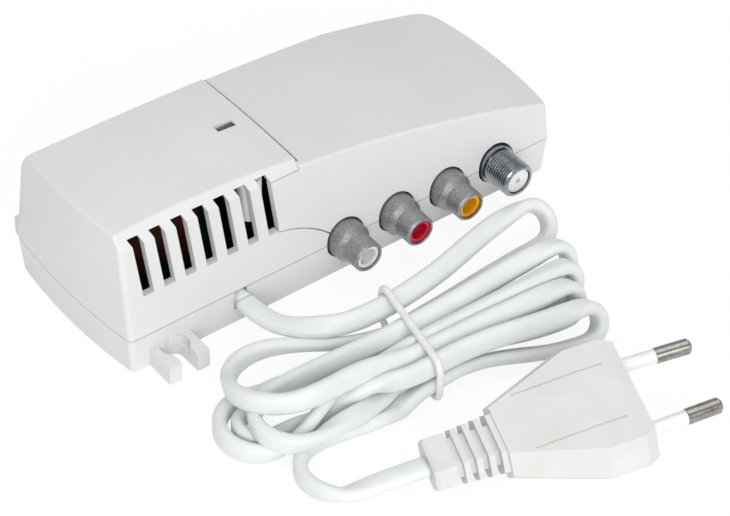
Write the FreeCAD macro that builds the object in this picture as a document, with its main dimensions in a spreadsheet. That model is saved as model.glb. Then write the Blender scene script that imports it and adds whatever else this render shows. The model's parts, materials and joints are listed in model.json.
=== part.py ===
import FreeCAD, Part
import math
import os
import Sketcher
from FreeCAD import Placement, Rotation, Vector

doc = FreeCAD.newDocument("tv_modulator")
sheet = doc.addObject("Spreadsheet::Sheet", "Sizes")

# Driving dimensions, millimetres and degrees
DRIVERS = {
    # housing: X along the body, connectors on the -Y side, Z up from the mounting face
    "body_length": 131.0,
    "body_depth": 53.0,
    "parting_height": 10.5,
    "end_bulge": 2.0,
    "foot_inset": 0.7,
    "side_lean": 0.15,
    "end_lean": 0.03,
    "wall": 2.0,
    "floor_thickness": 2.2,
    "roof_peak": 40.8,
    "roof_radius": 390.0,
    "roof_peak_x": -50.0,
    "crown_rise": 1.1,
    "lid_step": 1.5,
    "loft_top": 44.0,
    "front_bevel_start": 36.2,
    "front_bevel_slope": 0.62,
    "rear_bevel_start": 30.0,
    "rear_bevel_inset": 7.2,
    "rear_bevel_rise": 10.0,
    "front_corner_radius": 1.2,
    "rear_corner_radius": 5.0,
    "roof_edge_radius": 0.7,
    "seam_gap": 0.25,
    "lip_clearance": 0.2,
    "lip_thickness": 0.9,
    "lip_height": 1.8,
    # seam between the power cover and the access lid
    "seam_x": -12.8,
    "seam_tongue_top_x": -21.1,
    "seam_tongue_foot_x": -20.2,
    "seam_tongue_foot_height": 21.3,
    "seam_end_x": -5.6,
    "seam_end_height": 14.2,
    "seam_bow": 1.2,
    "seam_groove": 1.35,
    "seam_groove_inset": 5.8,
    # ventilation slots
    "slot_count": 7,
    "slot_pitch": 6.13,
    "slot_width": 3.1,
    "slot_lean": 3.8,
    "slot_foot_height": 21.5,
    "slot_top_height": 38.0,
    "slot_bend_drop": 0.3,
    "slot_hook": 0.9,
    # indicator window
    "window_x": -20.1,
    "window_y": -2.2,
    "window_length": 5.2,
    "window_width": 2.2,
    # mounting lugs
    "lug_x": -54.2,
    "lug_width": 11.6,
    "lug_reach": 8.2,
    "lug_thickness": 5.5,
    "lug_slot_width": 4.6,
    "lug_slot_depth": 6.4,
    "lug_head_radius": 3.9,
    "lug_head_depth": 2.2,
    # connectors along the front
    "jack_first_x": -1.0,
    "jack_pitch": 16.25,
    "jack_hole_radius": 5.8,
    "jack_clearance": 0.55,
    "phono_reach": 9.7,
    "phono_collar_reach": 2.6,
    "phono_shoulder_reach": 4.4,
    "phono_barrel_radius": 4.15,
    "phono_wall": 0.8,
    "phono_bore_radius": 2.4,
    "phono_contact_bore_radius": 1.65,
    "phono_contact_wall": 0.3,
    "phono_contact_recess": 3.6,
    "phono_depth_inside": 6.0,
    "aerial_reach": 9.2,
    "aerial_thread_radius": 4.76,
    "aerial_thread_depth": 0.5,
    "aerial_thread_pitch": 0.794,
    "aerial_thread_count": 10,
    "aerial_insulator_radius": 3.6,
    "insulator_clearance": 0.05,
    "aerial_pin_bore_radius": 0.75,
    # circuit board
    "board_length": 116.0,
    "board_depth": 42.0,
    "board_thickness": 1.6,
    "board_rise": 1.6,
    "board_y": 0.6,
    # transformer
    "core_length": 30.0,
    "core_height": 24.0,
    "core_stack": 12.0,
    "core_window": 7.0,
    "coil_length": 13.6,
    "coil_overhang": 5.0,
    "transformer_x": -43.0,
    "transformer_y": 4.0,
    # small components
    "reservoir_radius": 6.3,
    "reservoir_height": 17.0,
    "smoothing_radius": 3.15,
    "smoothing_height": 11.0,
        # tuner box and setting controls
    "tuner_length": 34.0,
    "tuner_depth": 16.0,
    "tuner_height": 11.0,
    "tuner_x": 28.0,
    "tuner_y": -6.0,
    "switch_count": 6,
    "switch_pitch": 2.54,
    "switch_body_depth": 7.2,
    "switch_body_height": 4.6,
    "switch_slot_length": 3.4,
    "switch_slot_width": 1.5,
    "switch_slot_depth": 2.6,
    "switch_travel": 1.8,
    "switch_running_gap": 0.12,
    "switch_x": 22.0,
    "switch_y": 12.0,
    "trimmer_radius": 2.3,
    "trimmer_x": 44.0,
    "trimmer_pitch": 9.0,
    # supply cord, a flat twin lead
    "cord_tube_diameter": 4.6,
    "cord_width": 5.6,
    "cord_thickness": 3.4,
    "cord_exit_x": -33.1,
    "cord_exit_height": 7.45,
    "cord_stub_reach": 1.5,
    "cord_notch_clearance": 0.12,
    # mains plug
    "plug_x": 17.4,
    "plug_y": -112.4,
    "plug_z": 11.17,
    "plug_heading": -18.1,
    "plug_rise": 6.5,
    "plug_roll": 12.0,
    "plug_width": 36.4,
    "plug_thickness": 14.0,
    "plug_tail_width": 19.6,
    "plug_tail_thickness": 11.2,
    "plug_shoulder": 12.0,
    "plug_nose_chamfer": 3.0,
    "plug_length": 33.5,
    "plug_top_inset": 4.1,
    "plug_crease_spread": 15.2,
    "relief_length": 17.5,
    "relief_block_length": 5.5,
    "relief_width": 14.4,
    "relief_thickness": 8.8,
    "relief_rib_count": 4,
    "pin_pitch": 18.6,
    "pin_tip_pitch": 17.5,
    "pin_radius": 2.0,
    "pin_length": 19.0,
    "sleeve_length": 10.0,
    "sleeve_radius": 1.75,
    "sleeve_core_radius": 1.3,
}
for row, (alias, number) in enumerate(DRIVERS.items(), start=1):
    sheet.set("A%d" % row, alias)
    sheet.set("B%d" % row, str(number))
    sheet.setAlias("B%d" % row, alias)
doc.recompute()


class Size:
    """A length that knows its value and the sheet formula it comes from."""

    def __init__(self, number, formula=None):
        self.number = float(number)
        self.formula = formula or repr(float(number))

    def join(self, other, sign, number, turned=False):
        left, right = (other, self) if turned else (self, other)
        return Size(number, "(%s %s %s)" % (left.formula, sign, right.formula))

    def __add__(self, other):
        other = as_size(other)
        return self.join(other, "+", self.number + other.number)

    __radd__ = __add__

    def __sub__(self, other):
        other = as_size(other)
        return self.join(other, "-", self.number - other.number)

    def __rsub__(self, other):
        return as_size(other) - self

    def __mul__(self, other):
        other = as_size(other)
        return self.join(other, "*", self.number * other.number)

    __rmul__ = __mul__

    def __truediv__(self, other):
        other = as_size(other)
        return self.join(other, "/", self.number / other.number)

    def __neg__(self):
        return Size(-self.number, "(-1 * %s)" % self.formula)

    def __float__(self):
        return self.number


def as_size(value):
    return value if isinstance(value, Size) else Size(value)


def size(alias):
    return Size(float(sheet.get(alias)), "Sizes." + alias)


def root(value):
    return Size(math.sqrt(value.number), "sqrt(%s)" % value.formula)


def bind(target, name, value):
    target.setExpression(name, as_size(value).formula)


def place(target, x=0, y=0, z=0):
    for axis, value in zip("xyz", (x, y, z)):
        bind(target, "Placement.Base." + axis, value)


def named(target, label):
    target.Label = label
    return target


# Solids made of profiles
def draw(sketch, corners, bulges=None):
    """A closed outline; bulges maps a side's number to the height of its arc, outwards positive."""
    bulges = bulges or {}
    corners = [(as_size(across), as_size(up)) for across, up in corners]
    count = len(corners)
    starts = []
    for side in range(count):
        first = Vector(float(corners[side][0]), float(corners[side][1]), 0)
        last = Vector(float(corners[(side + 1) % count][0]), float(corners[(side + 1) % count][1]), 0)
        if side in bulges:
            rise = float(bulges[side])
            chord = last - first
            outward = Vector(chord.y, -chord.x, 0).normalize()
            middle = (first + last) * 0.5 + outward * rise
            sketch.addGeometry(Part.Arc(first, middle, last))
            starts.append(1 if rise > 0 else 2)
        else:
            sketch.addGeometry(Part.LineSegment(first, last))
            starts.append(1)
    for side in range(count):
        following = (side + 1) % count
        sketch.addConstraint(
            Sketcher.Constraint("Coincident", side, 3 - starts[side], following, starts[following]))
    for side, (across, up) in enumerate(corners):
        for kind, tag, value in (("DistanceX", "across", across), ("DistanceY", "up", up)):
            index = sketch.addConstraint(
                Sketcher.Constraint(kind, -1, 1, side, starts[side], float(value)))
            sketch.renameConstraint(index, "%s_%d" % (tag, side))
            bind(sketch, "Constraints.%s_%d" % (tag, side), value)
        if side in bulges:
            far_across, far_up = corners[(side + 1) % count]
            rise = as_size(bulges[side])
            if float(rise) < 0:
                rise = -rise
            half_square = ((far_across - across) * (far_across - across)
                           + (far_up - up) * (far_up - up)) / 4
            radius = (half_square + rise * rise) / (2 * rise)
            index = sketch.addConstraint(Sketcher.Constraint("Radius", side, float(radius)))
            sketch.renameConstraint(index, "radius_%d" % side)
            bind(sketch, "Constraints.radius_%d" % side, radius)


def sketch_on(body, plane, name, offset=0):
    sketch = body.newObject("Sketcher::SketchObject", name)
    support = [item for item in body.Origin.OriginFeatures if item.Role == plane + "_Plane"][0]
    sketch.AttachmentSupport = (support, [""])
    sketch.MapMode = "FlatFace"
    bind(sketch, "AttachmentOffset.Base.z", offset)
    return sketch


def prism(name, plane, corners, low, high, bulges=None):
    """An outline in a plane, padded from low to high along the plane's axis."""
    body = doc.addObject("PartDesign::Body", name)
    low, high = as_size(low), as_size(high)
    offset = -high if plane == "XZ" else low
    sketch = sketch_on(body, plane, name + "_outline", offset)
    draw(sketch, corners, bulges)
    pad = body.newObject("PartDesign::Pad", name + "_pad")
    pad.Profile = sketch
    bind(pad, "Length", high - low)
    sketch.Visibility = False
    return body


def turned(name, profile):
    """A profile of (distance along, radius) corners revolved about its own X axis."""
    body = doc.addObject("PartDesign::Body", name)
    sketch = sketch_on(body, "XY", name + "_profile")
    draw(sketch, profile)
    revolution = body.newObject("PartDesign::Revolution", name + "_turn")
    revolution.Profile = sketch
    revolution.ReferenceAxis = (sketch, ["H_Axis"])
    revolution.Angle = 360
    return body


def lofted(name, plane, sections, bulges=None):
    """A tapered solid through outlines on parallel planes; sections are (offset, corners)."""
    body = doc.addObject("PartDesign::Body", name)
    sketches = []
    for index, (offset, corners) in enumerate(sections):
        sketch = sketch_on(body, plane, "%s_section_%d" % (name, index), offset)
        draw(sketch, corners, bulges)
        sketches.append(sketch)
    loft = body.newObject("PartDesign::AdditiveLoft", name + "_loft")
    loft.Profile = sketches[0]
    loft.Sections = sketches[1:]
    loft.Ruled = True
    return body


def box(name, low, high):
    solid = doc.addObject("Part::Box", name)
    for side, near, far in zip(("Length", "Width", "Height"), low, high):
        bind(solid, side, as_size(far) - near)
    place(solid, *low)
    return solid


DIRECTIONS = {
    "Z": Rotation(),
    "-Y": Rotation(Vector(1, 0, 0), 90),
    "Y": Rotation(Vector(1, 0, 0), -90),
    "X": Rotation(Vector(0, 1, 0), 90),
}


def rod(name, base, radius, length, direction="Z"):
    solid = doc.addObject("Part::Cylinder", name)
    solid.Placement = Placement(Vector(), DIRECTIONS[direction])
    bind(solid, "Radius", radius)
    bind(solid, "Height", length)
    place(solid, *base)
    return solid


def cut(name, base, *tools):
    result = doc.addObject("Part::Cut", name)
    result.Base = base
    result.Tool = tools[0] if len(tools) == 1 else join(name + "_tools", *tools)
    return result


def join(name, *solids):
    result = doc.addObject("Part::MultiFuse", name)
    result.Shapes = list(solids)
    return result


def overlap(name, *solids):
    result = doc.addObject("Part::MultiCommon", name)
    result.Shapes = list(solids)
    return result


def rounded(name, base, choose, radius):
    """Rounds the edges of base that choose picks."""
    doc.recompute()
    result = doc.addObject("Part::Fillet", name)
    result.Base = base
    radius = float(radius)
    picked = [number for number, edge in enumerate(base.Shape.Edges, start=1) if choose(edge)]
    result.Edges = [(number, radius, radius) for number in picked]
    return result


def turn_to_front(body, x, y, z):
    """Points a turned body's axis out of the front face and puts its origin at x, y, z."""
    body.Placement = Placement(Vector(), Rotation(Vector(0, 0, 1), -90))
    place(body, x, y, z)
    return body


# Housing outlines
half_length = size("body_length") / 2
half_depth = size("body_depth") / 2
parting = size("parting_height")
wall = size("wall")
gap = size("seam_gap")
front_y = -half_depth


def plan(half_x, half_y):
    """The plan's outline: straight front and rear, bowed ends, tighter corners at the front."""
    front, rear = size("front_corner_radius"), size("rear_corner_radius")

    def bow(radius):
        along = (half_y - radius) / half_y
        return size("end_bulge") * (1 - along * along)
    return [(-half_x + front, -half_y), (half_x - front, -half_y),
            (half_x + bow(front), -half_y + front), (half_x + bow(rear), half_y - rear),
            (half_x - rear, half_y), (-half_x + rear, half_y),
            (-half_x - bow(rear), half_y - rear), (-half_x - bow(front), -half_y + front)]


def plan_bulges():
    front, rear = 0.28 * size("front_corner_radius"), 0.28 * size("rear_corner_radius")
    chord = (2 * half_depth - size("front_corner_radius") - size("rear_corner_radius")) / (2 * half_depth)
    end = size("end_bulge") * chord * chord
    return {1: front, 2: end, 3: rear, 5: rear, 6: end, 7: front}


def tray_form(name, low, high, inset):
    """The tray's outer form between two heights, drawn in by inset all round."""
    def outline(height):
        shrink = size("foot_inset") * (parting - height) / parting + inset
        return plan(half_length - shrink, half_depth - shrink)
    return lofted(name, "XY", [(as_size(level), outline(as_size(level))) for level in (low, high)],
                  plan_bulges())


def cover_form(name, low, high, inset):
    """The covers' outer form between two heights, drawn in by inset all round."""
    def outline(height):
        rise = height - parting
        return plan(half_length - size("end_lean") * rise - inset,
                    half_depth - size("side_lean") * rise - inset)
    return lofted(name, "XY", [(as_size(level), outline(as_size(level))) for level in (low, high)],
                  plan_bulges())


def roof_form(name, peak):
    """Everything under the roof: an arch along X, crowned across Y, as one sector of a barrel."""
    body = doc.addObject("PartDesign::Body", name)
    sketch = sketch_on(body, "YZ", name + "_section", size("roof_peak_x"))
    hub = peak - size("roof_radius")
    reach = half_depth + 4
    rim = peak - size("crown_rise") * reach * reach / (half_depth * half_depth)
    draw(sketch, [(-reach, hub + size("roof_radius") - 60), (reach, hub + size("roof_radius") - 60),
                  (reach, rim), (-reach, rim)], {2: peak - rim})
    axle = sketch.addGeometry(Part.LineSegment(Vector(-10, float(hub), 0), Vector(10, float(hub), 0)), True)
    sketch.addConstraint(Sketcher.Constraint("Horizontal", axle))
    for side, across in ((1, -10), (2, 10)):
        index = sketch.addConstraint(Sketcher.Constraint("DistanceX", -1, 1, axle, side, across))
        sketch.renameConstraint(index, "axle_across_%d" % side)
    index = sketch.addConstraint(Sketcher.Constraint("DistanceY", -1, 1, axle, 1, float(hub)))
    sketch.renameConstraint(index, "axle_up")
    bind(sketch, "Constraints.axle_up", hub)
    sector = body.newObject("PartDesign::Revolution", name + "_sector")
    sector.Profile = sketch
    sector.ReferenceAxis = (sketch, ["Axis0"])
    sector.Angle = 44
    sector.Midplane = True
    return body


def bevel_tools(name, inset):
    """Wedges that take the bevels off the front and the rear upper edges."""
    start = size("front_bevel_start")
    slope = size("front_bevel_slope")
    face = front_y + size("side_lean") * (start - parting) + inset
    foot = start - inset * (root(1 + slope * slope) - 1) / slope
    outside = 12
    front = prism(name + "_front", "YZ",
                  [(face, foot), (face + outside * slope, foot + outside),
                   (face - outside, foot + outside), (face - outside, foot)],
                  -half_length - outside, half_length + outside)
    start = size("rear_bevel_start")
    face = half_depth - size("side_lean") * (start - parting) - inset
    rise = size("rear_bevel_rise")
    run = size("rear_bevel_inset")
    rear = prism(name + "_rear", "YZ",
                 [(face, start), (face + outside, start), (face + outside, start + 2 * rise),
                  (face - 2 * run, start + 2 * rise)],
                 -half_length - outside, half_length + outside)
    return front, rear


def cover_block(name, peak, inset):
    """A full-length block under the roof, with soft upright corners and both bevels."""
    block = cover_form(name + "_taper", parting, size("loft_top"), inset)
    roofed = overlap(name + "_roofed", block, roof_form(name + "_roof", peak))
    return cut(name, roofed, *bevel_tools(name + "_bevel", inset))


def hollow_block(name, peak, inset):
    """The space inside a cover, from below the parting plane up to a wall below the roof."""
    block = cover_form(name + "_taper", parting - 2, size("loft_top"), inset)
    roofed = overlap(name + "_roofed", block, roof_form(name + "_roof", peak - size("wall")))
    return cut(name, roofed, *bevel_tools(name + "_bevel", inset))


jack_x = [size("jack_first_x") + size("jack_pitch") * index for index in range(4)]


def jack_bores(name, radius, low=None, high=None):
    low = front_y - 3 if low is None else low
    return [rod("%s_%d" % (name, index), (x, low, parting), radius, 12, "Y")
            for index, x in enumerate(jack_x)]


# Tray that carries everything
def build_tray():
    outer = tray_form("tray_block", 0, parting, 0)
    inner = tray_form("tray_space", size("floor_thickness"), parting + 5, wall)
    shell = cut("tray_shell", outer, inner)
    lip_low = parting - 4
    lip_high = parting + size("lip_height")
    inset = wall + size("lip_clearance")
    lip_outer = cover_form("lip_outer", parting, lip_high, inset)
    lip_inner = cover_form("lip_inner", parting - 5, lip_high + 1, inset + size("lip_thickness"))
    root_outer = cover_form("lip_root_outer", lip_low, parting, wall - 0.5)
    lip = cut("lip", join("lip_blank", lip_outer, root_outer), lip_inner)
    body = join("tray_with_lip", shell, lip, *(board_posts() + screw_posts() + lugs()))
    cord_low = size("cord_exit_height") - size("cord_width") / 2 - size("cord_notch_clearance")
    half_notch = size("cord_thickness") / 2 + size("cord_notch_clearance")
    notch = box("cord_notch", (size("cord_exit_x") - half_notch, front_y - 1, cord_low),
                (size("cord_exit_x") + half_notch, front_y + 6, parting + 4))
    tools = jack_bores("tray_jack_hole", size("jack_hole_radius")) + [notch] + screw_bores() + lug_slots()
    # the lip stops short of the connectors' metalwork
    opening = box("lip_gap", (jack_x[0] - 7.5, front_y + wall, size("floor_thickness") + 1),
                  (jack_x[3] + 7.5, front_y + 7, parting + 4))
    return named(cut("tray", body, opening, *tools), "base_tray")


board_bottom = size("floor_thickness") + size("board_rise")
board_top = board_bottom + size("board_thickness")
board_x_low = -size("board_length") / 2
board_x_high = size("board_length") / 2
board_y_low = size("board_y") - size("board_depth") / 2
board_y_high = size("board_y") + size("board_depth") / 2
board_screw_radius = 1.1
BOARD_POSTS = [(-1, -1), (1, -1), (-1, 1), (1, 1)]
post_inset = 4.5


def board_post_places():
    return [(side * (size("board_length") / 2 - post_inset),
             size("board_y") + end * (size("board_depth") / 2 - post_inset)) for side, end in BOARD_POSTS]


def board_posts():
    return [rod("board_post_%d" % index, (x, y, size("floor_thickness") - 0.5), 2.6,
                size("board_rise") + 0.5)
            for index, (x, y) in enumerate(board_post_places())]


screw_column_radius = 3.0
screw_x = half_length - 3.1


screw_span = 9.0
screw_head_radius = 2.8
screw_head_height = 2.2
screw_head_depth = 0.4
screw_radius = 1.15
screw_tip_clearance = 0.4


def screw_places():
    """Two screws hold each cover at its end; each place has the height of the column above it."""
    return [(side * screw_x, end * screw_span, 18 if side < 0 else 8.5)
            for side in (-1, 1) for end in (-1, 1)]


def pilot_top(height):
    """Where the pilot hole in a cover's column ends."""
    return parting + gap + height - 2


def screw_posts():
    return [rod("screw_post_%d" % index, (x, y, size("floor_thickness") - 0.5), screw_column_radius,
                parting - size("floor_thickness") + 0.5)
            for index, (x, y, height) in enumerate(screw_places())]


def screw_bores():
    tools = []
    for index, (x, y, height) in enumerate(screw_places()):
        tools.append(rod("screw_clearance_%d" % index, (x, y, -1), screw_radius + 0.5, parting + 2))
        tools.append(rod("screw_head_recess_%d" % index, (x, y, -1), screw_head_radius + 0.3,
                         1 + screw_head_depth + screw_head_height))
        tools.append(rod("lip_relief_%d" % index, (x, y, parting), screw_column_radius + 0.3, 5))
    for index, (x, y) in enumerate(board_post_places()):
        tools.append(rod("board_pilot_%d" % index, (x, y, 0.9), board_screw_radius, board_bottom))
    return tools


def lug_sides():
    return (("front", -1), ("rear", 1))


def lugs():
    """Flat ears at the foot of the front and rear walls."""
    solids = []
    half = size("lug_width") / 2
    for name, side in lug_sides():
        wall_y = side * (half_depth - wall / 2)
        tip_y = side * (half_depth + size("lug_reach"))
        low, high = (tip_y, wall_y) if side < 0 else (wall_y, tip_y)
        solids.append(box("lug_" + name, (size("lug_x") - half, low, 0),
                          (size("lug_x") + half, high, size("lug_thickness"))))
    return solids


def lug_slots():
    """An open-ended slot for the screw's shank and a recess for its head beside the wall."""
    tools = []
    half = size("lug_slot_width") / 2
    for name, side in lug_sides():
        root_y = side * (half_depth + size("lug_reach") - size("lug_slot_depth"))
        tip_y = side * (half_depth + size("lug_reach") + 1)
        low, high = (tip_y, root_y) if side < 0 else (root_y, tip_y)
        tools.append(box("lug_slot_" + name, (size("lug_x") - half, low, -1),
                         (size("lug_x") + half, high, size("lug_thickness") + 1)))
        tools.append(rod("lug_slot_end_" + name, (size("lug_x"), root_y, -1), half,
                         size("lug_thickness") + 2))
        recess = rod("lug_recess_round_" + name,
                     (size("lug_x"), root_y, size("lug_thickness") - size("lug_head_depth")),
                     size("lug_head_radius"), size("lug_head_depth") + 2)
        outer_y = side * (half_depth + 0.2)
        far_y = side * (half_depth + 2 * size("lug_reach"))
        low, high = (far_y, outer_y) if side < 0 else (outer_y, far_y)
        keep = box("lug_recess_limit_" + name, (size("lug_x") - half_depth, low, -1),
                   (size("lug_x") + half_depth, high, parting))
        tools.append(overlap("lug_recess_" + name, recess, keep))
    return tools


# Covers
def lid_region(name, grow):
    """Everything right of the seam: the roof's straight seam, and the stepped line down the front."""
    x = size("seam_x") - grow
    far = half_length + 12
    top = size("loft_top") + 6
    bevel = size("front_bevel_start") - 0.6 + grow
    foot_x = size("seam_tongue_foot_x") - grow
    foot_z = size("seam_tongue_foot_height") - grow
    end_x = size("seam_end_x") - grow
    end_z = size("seam_end_height") - grow
    corners = [(end_x, end_z), (end_x, parting - 3), (far, parting - 3), (far, top), (x, top), (x, bevel),
               (size("seam_tongue_top_x") - grow, bevel), (foot_x, foot_z)]
    front = prism(name + "_front", "XZ", corners, front_y - 8, front_y + 8,
                  {7: -size("seam_bow")})
    rear = box(name + "_rear", (x, front_y + 7.9, parting - 3), (far, half_depth + 8, top))
    return join(name, front, rear)


def slot_tools():
    """Leaning slots that hook over where they climb the bevel, the same tool along the front."""
    tools = []
    foot, top = size("slot_foot_height"), size("slot_top_height")
    bend = size("front_bevel_start") - size("slot_bend_drop")
    shift = float(bend - foot) * math.tan(math.radians(float(size("slot_lean"))))
    hook = size("slot_hook")
    last_right_x = size("seam_tongue_foot_x")
    for index in range(int(float(size("slot_count")))):
        right = last_right_x - size("slot_pitch") * (float(size("slot_count")) - 1 - index)
        left = right - size("slot_width")
        corners = [(left, foot), (right, foot), (right - shift, bend), (right - shift - hook, top),
                   (left - shift - hook, top), (left - shift, bend)]
        tools.append(prism("slot_%d" % (index + 1), "XZ", corners, front_y - 2, front_y + 13))
    return tools


def window_tool(name, low, high, clearance):
    half_x = size("window_length") / 2 + clearance
    half_y = size("window_width") / 2 + clearance
    return box(name, (size("window_x") - half_x, size("window_y") - half_y, low),
               (size("window_x") + half_x, size("window_y") + half_y, high))


def soften_roof(name, block):
    """Rounds the edges between the roof, the bevels and the walls, but not the walls' own corners."""
    def roof_edge(edge):
        bounds = edge.BoundBox
        return bounds.ZMax > 22 and bounds.ZLength < 0.9 * edge.Length
    return rounded(name, block, roof_edge, size("roof_edge_radius"))


def seam_ring(name, peak, outer_inset, inner_inset, low_x, high_x):
    """An arch standing inside the covers at the seam, from the parting plane's lip to the roof."""
    outer = hollow_block(name + "_outer", peak + wall - outer_inset, outer_inset)
    inner = hollow_block(name + "_inner", peak + wall - inner_inset, inner_inset)
    limit = box(name + "_limit", (low_x, -half_depth, parting + size("lip_height") + 0.5),
                (high_x, half_depth, size("loft_top")))
    return overlap(name, cut(name + "_arch", outer, inner), limit)


def build_covers():
    seat = parting + gap
    block = soften_roof("power_soft", cover_block("power_block", size("roof_peak"), 0))
    space = hollow_block("power_space", size("roof_peak"), wall)
    lift = box("cover_seat", (-half_length - 10, -half_depth - 10, parting - 10),
               (half_length + 10, half_depth + 10, seat))
    columns, pilots = [], []
    for index, (x, y, height) in enumerate(screw_places()):
        columns.append(rod("cover_column_%d" % index, (x, y, seat), screw_column_radius, height))
        pilots.append(rod("column_pilot_%d" % index, (x, y, seat - 1), screw_radius,
                          pilot_top(height) - seat + 1))
    shell = join("power_shell", cut("power_hollow", block, space), seam_ring("seam_rib", size("roof_peak"),
                 wall - 0.5, wall + 1.5, size("seam_x") - 3, size("seam_x") + 1), *columns[:2])
    power = cut("power", shell, lid_region("power_limit", gap), lift,
                window_tool("window_hole", size("roof_peak") - 6, size("roof_peak") + 3, 0.1),
                *(slot_tools() + pilots[:2] + jack_bores("power_jack_hole", size("jack_hole_radius"))))
    lid_peak = size("roof_peak") - size("lid_step")
    flange = seam_ring("seam_flange", lid_peak - size("lip_clearance"), wall + size("lip_clearance"),
                       wall + 1.4, size("seam_x") - 3, size("seam_x") + 2.2)
    pillar = rod("slot_pillar", (size("seam_tongue_foot_x") - 4.4, front_y + wall + 6.2, 25), 3.2, 11.8)
    power = join("power_with_flange", power, pillar, cut("seam_flange_clear", flange, *jack_bores(
        "flange_jack_hole", size("jack_hole_radius") + 1.2)))
    lid_block = soften_roof("lid_soft", cover_block("lid_block", lid_peak, 0))
    lid_space = hollow_block("lid_space", lid_peak, wall)
    lid_lift = box("lid_seat", (-half_length - 10, -half_depth - 10, parting - 10),
                   (half_length + 10, half_depth + 10, seat))
    lid_shell = join("lid_with_columns", cut("lid_shell", lid_block, lid_space), *columns[2:])
    groove = box("seam_groove_tool",
                 (size("seam_x") - 1, front_y + size("seam_groove_inset"), size("rear_bevel_start")),
                 (size("seam_x") + size("seam_groove"), half_depth + 8, size("loft_top")))
    lid = cut("lid", overlap("lid_part", lid_shell, lid_region("lid_limit", 0)), lid_lift, groove,
              *(pilots[2:] + jack_bores("lid_jack_hole", size("jack_hole_radius"))))
    return [named(power, "power_cover"), named(lid, "access_lid")]


# Indicator
def build_indicator():
    half_x, half_y = size("window_length") / 2, size("window_width") / 2
    x, y = size("window_x"), size("window_y")
    lens = box("window_lens", (x - half_x, y - half_y, size("roof_peak") - 4.4),
               (x + half_x, y + half_y, size("roof_peak") - 1.9))
    flange = box("window_flange", (x - half_x - 1, y - half_y - 1, size("roof_peak") - 4.4),
                 (x + half_x + 1, y + half_y + 1, size("roof_peak") - 3.5))
    window = named(join("window", lens, flange), "led_window")
    holder = box("lamp_holder", (x - 2.4, y - 2, board_top), (x + 2.4, y + 2, board_top + 24))
    dome = [rod("lamp_body", (x, y, board_top + 23), 1.5, 4.5)]
    tip = doc.addObject("Part::Sphere", "lamp_tip")
    bind(tip, "Radius", 1.5)
    place(tip, x, y, board_top + 27.5)
    lamp = named(join("lamp", *dome, tip), "led_lamp")
    socket = rod("lamp_socket", (x, y, board_top + 23), 1.5, 2)
    return [window, lamp, named(cut("holder", holder, socket), "led_holder")]


# Fasteners
def cross_screw(name, x, y, z, shank_radius, shank, head_radius, head, up):
    """A cross-slotted screw whose head stands at z, pointing down if its shank goes up."""
    turn = 1 if up else -1
    head_low = z if up else z - head
    shank_low = z + head - 0.1 if up else z - head - shank
    solid = join(name + "_blank", rod(name + "_head", (x, y, head_low), head_radius, head),
                 rod(name + "_shank", (x, y, shank_low), shank_radius, shank + 0.1))
    face = z if up else z
    depth = 0.9
    low, high = (face - 1, face + depth) if up else (face - depth, face + 1)
    arms = []
    for tag, half_x, half_y in (("a", head_radius * 0.6, 0.35), ("b", 0.35, head_radius * 0.6)):
        arms.append(box(name + "_arm_" + tag, (x - half_x, y - half_y, low), (x + half_x, y + half_y, high)))
    return cut(name, solid, *arms)


def build_screws():
    under_head = screw_head_depth + screw_head_height
    case = [cross_screw("case_screw_%d" % index, as_size(x), as_size(y), as_size(screw_head_depth),
                        screw_radius, pilot_top(height) - screw_tip_clearance - under_head,
                        screw_head_radius, screw_head_height, True)
            for index, (x, y, height) in enumerate(screw_places())]
    board = [cross_screw("board_screw_%d" % index, as_size(x), as_size(y), board_top + 1.5,
                         board_screw_radius, 4.4, 2.4, 1.5, False)
             for index, (x, y) in enumerate(board_post_places())]
    return [named(join("case_screw_set", *case), "case_screws"),
            named(join("board_screw_set", *board), "board_screws")]


# Circuit board and what stands on it
def build_board():
    blank = box("board_blank", (board_x_low, board_y_low, board_bottom), (board_x_high, board_y_high, board_top))
    holes = [rod("board_hole_%d" % index, (x, y, board_bottom - 1), 1.4, 4)
             for index, (x, y) in enumerate(board_post_places())]
    return [named(cut("board", blank, *holes), "main_board")]


def build_transformer():
    x, y = size("transformer_x"), size("transformer_y")
    length, height, stack = size("core_length"), size("core_height"), size("core_stack")
    window, rim = size("core_window"), (size("core_length") - 2 * size("core_window")) / 4
    core = box("core_block", (x - length / 2, y - stack / 2, board_top),
               (x + length / 2, y + stack / 2, board_top + height))
    windows = []
    for tag, side in (("left", -1), ("right", 1)):
        middle = x + side * (rim + window / 2)
        windows.append(box("core_window_" + tag, (middle - window / 2, y - stack, board_top + rim),
                           (middle + window / 2, y + stack, board_top + height - rim)))
    coil_x = rim + window - 0.15
    coil_y = stack / 2 + size("coil_overhang")
    coil = box("coil_block", (x - coil_x, y - coil_y, board_top + rim + 0.15),
               (x + coil_x, y + coil_y, board_top + height - rim - 0.15))
    passage = box("coil_passage", (x - rim, y - stack / 2, board_top), (x + rim, y + stack / 2,
                                                                       board_top + height))
    return [named(cut("core", core, *windows), "transformer_core"),
            named(cut("coil", coil, passage), "transformer_coil")]


def capacitor(name, x, y, radius, height):
    """An upright can with a rolled groove near its foot and a scored top."""
    x, y = as_size(x), as_size(y)
    can = turned(name + "_can", [(0, 0), (0, radius - 0.3), (0.3, radius), (1.6, radius),
                                 (1.9, radius - 0.35), (2.3, radius - 0.35), (2.6, radius),
                                 (height - 0.4, radius), (height, radius - 0.4), (height, 0)])
    can.Placement = Placement(Vector(), Rotation(Vector(0, 1, 0), -90))
    place(can, x, y, board_top)
    arms = [box(name + "_score_" + tag, (x - half_x, y - half_y, board_top + height - 0.25),
                (x + half_x, y + half_y, board_top + height + 1))
            for tag, half_x, half_y in (("a", radius * 0.65, 0.15), ("b", as_size(0.15), radius * 0.65))]
    return cut(name, can, *arms)


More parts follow.
